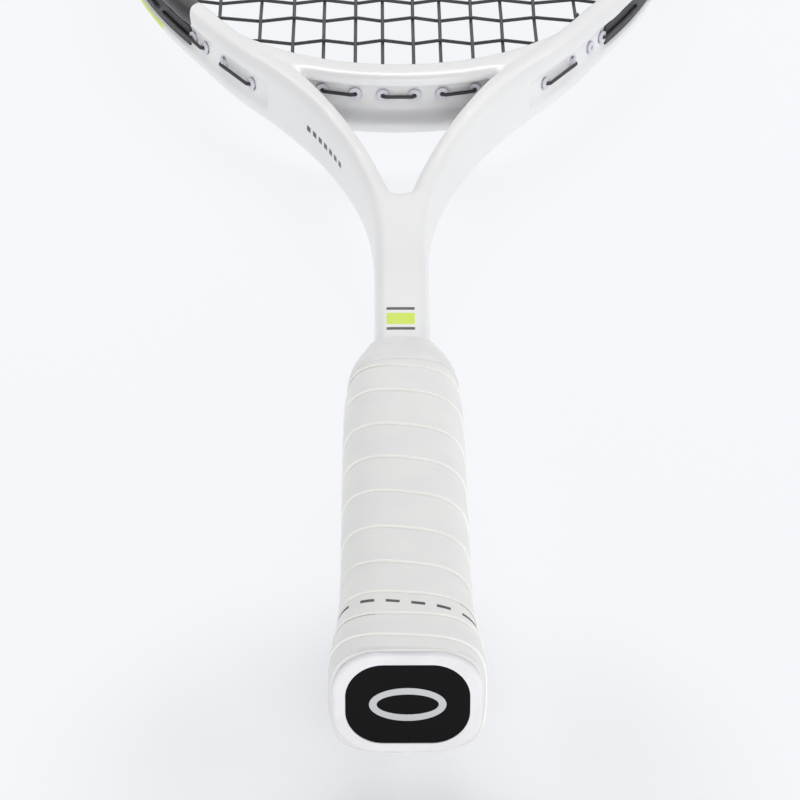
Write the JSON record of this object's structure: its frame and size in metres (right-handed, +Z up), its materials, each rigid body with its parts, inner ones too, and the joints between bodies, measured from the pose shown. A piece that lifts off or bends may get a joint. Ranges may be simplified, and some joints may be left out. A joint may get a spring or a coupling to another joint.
{
  "type": "squash racket",
  "caption": "Strung squash racket with a white open-throat frame, a bridged teardrop head, woven black strings and a tape-wrapped handle with a flared butt cap.",
  "frame": {"origin": "centre of the butt cap's end face, in the plane of the strings", "axes": "+X across the head, +Y from the butt cap to the tip of the head, +Z up, square to the string bed"},
  "size_m": [0.2074, 0.685, 0.0326],
  "materials": {
    "frame_paint": "satin white lacquer over carbon fibre",
    "string": "black multifilament string, slightly waxy",
    "grip_tape": "soft white polyurethane tape with cream edges",
    "collar_tape": "smooth white finishing tape",
    "cap": "moulded white plastic",
    "badge": "gloss black",
    "emblem": "brushed silver foil",
    "foam": "moulded polyurethane foam",
    "nail": "plain wire",
    "grommet": "translucent white nylon",
    "bumper": "black nylon"
  },
  "bodies": {
    "root": {"frame": "frame_paint", "bridge": "frame_paint", "handle_pallet_upper": "foam", "handle_pallet_lower": "foam", "butt_cap": "cap", "butt_cap_nails": "nail", "butt_badge": "badge", "badge_emblem": "emblem", "grip_tape": "grip_tape", "grip_collar": "collar_tape", "head_bumper": "bumper", "grommet_strip_right": "bumper", "grommet_strip_left": "bumper", "bridge_grommets": "grommet", "shoulder_grommets": "grommet", "main_string": "string", "cross_string": "string", "string_knots": "string"}
  },
  "joints": []
}
